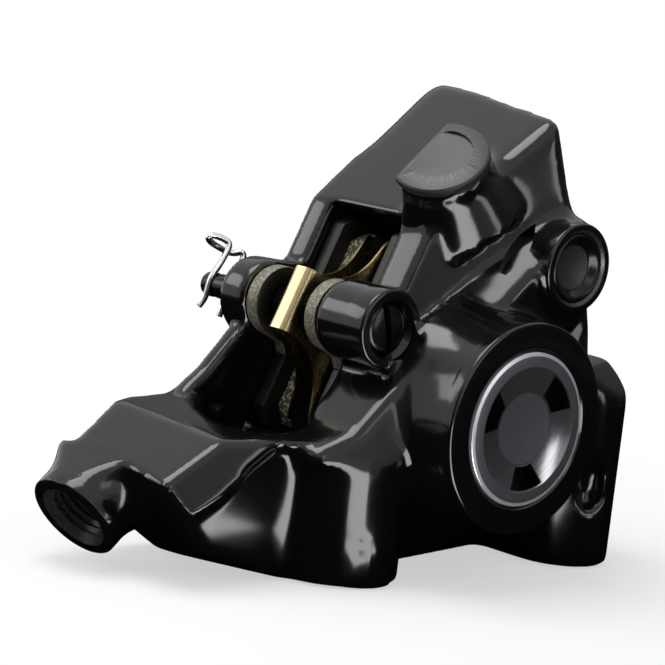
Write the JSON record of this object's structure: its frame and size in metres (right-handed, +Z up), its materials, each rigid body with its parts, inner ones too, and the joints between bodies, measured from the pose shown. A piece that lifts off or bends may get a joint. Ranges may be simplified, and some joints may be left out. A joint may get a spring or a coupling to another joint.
{
  "type": "bicycle disc brake caliper",
  "caption": "Flat mount hydraulic bicycle disc brake caliper with opposed pistons, sliding pads on a pin, a sheet spring and a slanted hose port.",
  "frame": {"origin": "midway between the two mounting holes, on the mounting face", "axes": "+X toward the hose port along the line of the mounting holes, +Y outboard, +Z up out of the mounting face"},
  "size_m": [0.0795, 0.0462, 0.0599],
  "materials": {
    "body_paint": "gloss black paint over forged aluminium",
    "cap_alloy": "dark grey fine blasted alloy with a bright rim",
    "seal_rubber": "black rubber",
    "piston_resin": "dark moulded resin",
    "pad_steel": "olive grey plated steel",
    "lining_resin": "speckled olive grey friction compound",
    "spring_gold": "gold coloured spring sheet",
    "pin_steel": "black finished steel",
    "clip_steel": "polished stainless wire",
    "nipple_steel": "plain steel",
    "cover_rubber": "matt dark grey rubber",
    "plug_steel": "black finished steel"
  },
  "bodies": {
    "body": {"caliper_body": "body_paint", "bore_cap": "cap_alloy", "bore_cap_ring": "seal_rubber", "outboard_piston_seal": "seal_rubber", "inboard_piston_seal": "seal_rubber", "pad_spring": "spring_gold", "bleed_nipple": "nipple_steel", "crossway_plug": "plug_steel", "port_plug": "plug_steel"},
    "outboard_piston": {"outboard_piston": "piston_resin"},
    "inboard_piston": {"inboard_piston": "piston_resin"},
    "outboard_pad": {"outboard_pad_plate": "pad_steel", "outboard_pad_lining": "lining_resin"},
    "inboard_pad": {"inboard_pad_plate": "pad_steel", "inboard_pad_lining": "lining_resin"},
    "pad_pin": {"pad_pin": "pin_steel"},
    "pin_clip": {"pin_clip": "clip_steel"},
    "bleed_cover": {"bleed_cover": "cover_rubber"},
    "valve_screw": {"valve_screw": "nipple_steel", "valve_screw_ring": "seal_rubber"},
    "valve_plug": {"valve_plug": "cover_rubber"}
  },
  "joints": [
    {"name": "outboard_piston_slide", "type": "slide", "parent": "body", "child": "outboard_piston", "axis": [0, -1, 0], "range_m": [0, 0.0015]},
    {"name": "inboard_piston_slide", "type": "slide", "parent": "body", "child": "inboard_piston", "axis": [0, 1, 0], "range_m": [0, 0.0015]},
    {"name": "outboard_pad_slide", "type": "slide", "parent": "body", "child": "outboard_pad", "axis": [0, -1, 0], "range_m": [0, 0.0015], "deforming": ["pad_spring"]},
    {"name": "inboard_pad_slide", "type": "slide", "parent": "body", "child": "inboard_pad", "axis": [0, 1, 0], "range_m": [0, 0.0015]},
    {"name": "pad_pin_turn", "type": "hinge", "parent": "body", "child": "pad_pin", "pos_m": [0.01695, -0.004, 0.03094], "axis": [0, 1, 0], "continuous": true},
    {"name": "pin_clip_pull", "type": "slide", "parent": "body", "child": "pin_clip", "axis": [-0.1961, 0, 0.9806], "range_m": [0, 0.012]},
    {"name": "bleed_cover_pull", "type": "slide", "parent": "body", "child": "bleed_cover", "axis": [0.6067, 0.2559, 0.7526], "range_m": [0, 0.01]},
    {"name": "valve_plug_pull", "type": "slide", "parent": "body", "child": "valve_plug", "axis": [0, 1, 0], "range_m": [0, 0.01]},
    {"name": "valve_screw_turn", "type": "hinge", "parent": "body", "child": "valve_screw", "pos_m": [-0.0089, 0, 0.0395], "axis": [0, 1, 0], "range_deg": [0, 180]}
  ],
  "couplings": [
    {"joint": "inboard_piston_slide", "follows": "outboard_piston_slide", "ratio": 1},
    {"joint": "outboard_pad_slide", "follows": "outboard_piston_slide", "ratio": 1},
    {"joint": "inboard_pad_slide", "follows": "outboard_piston_slide", "ratio": 1}
  ]
}
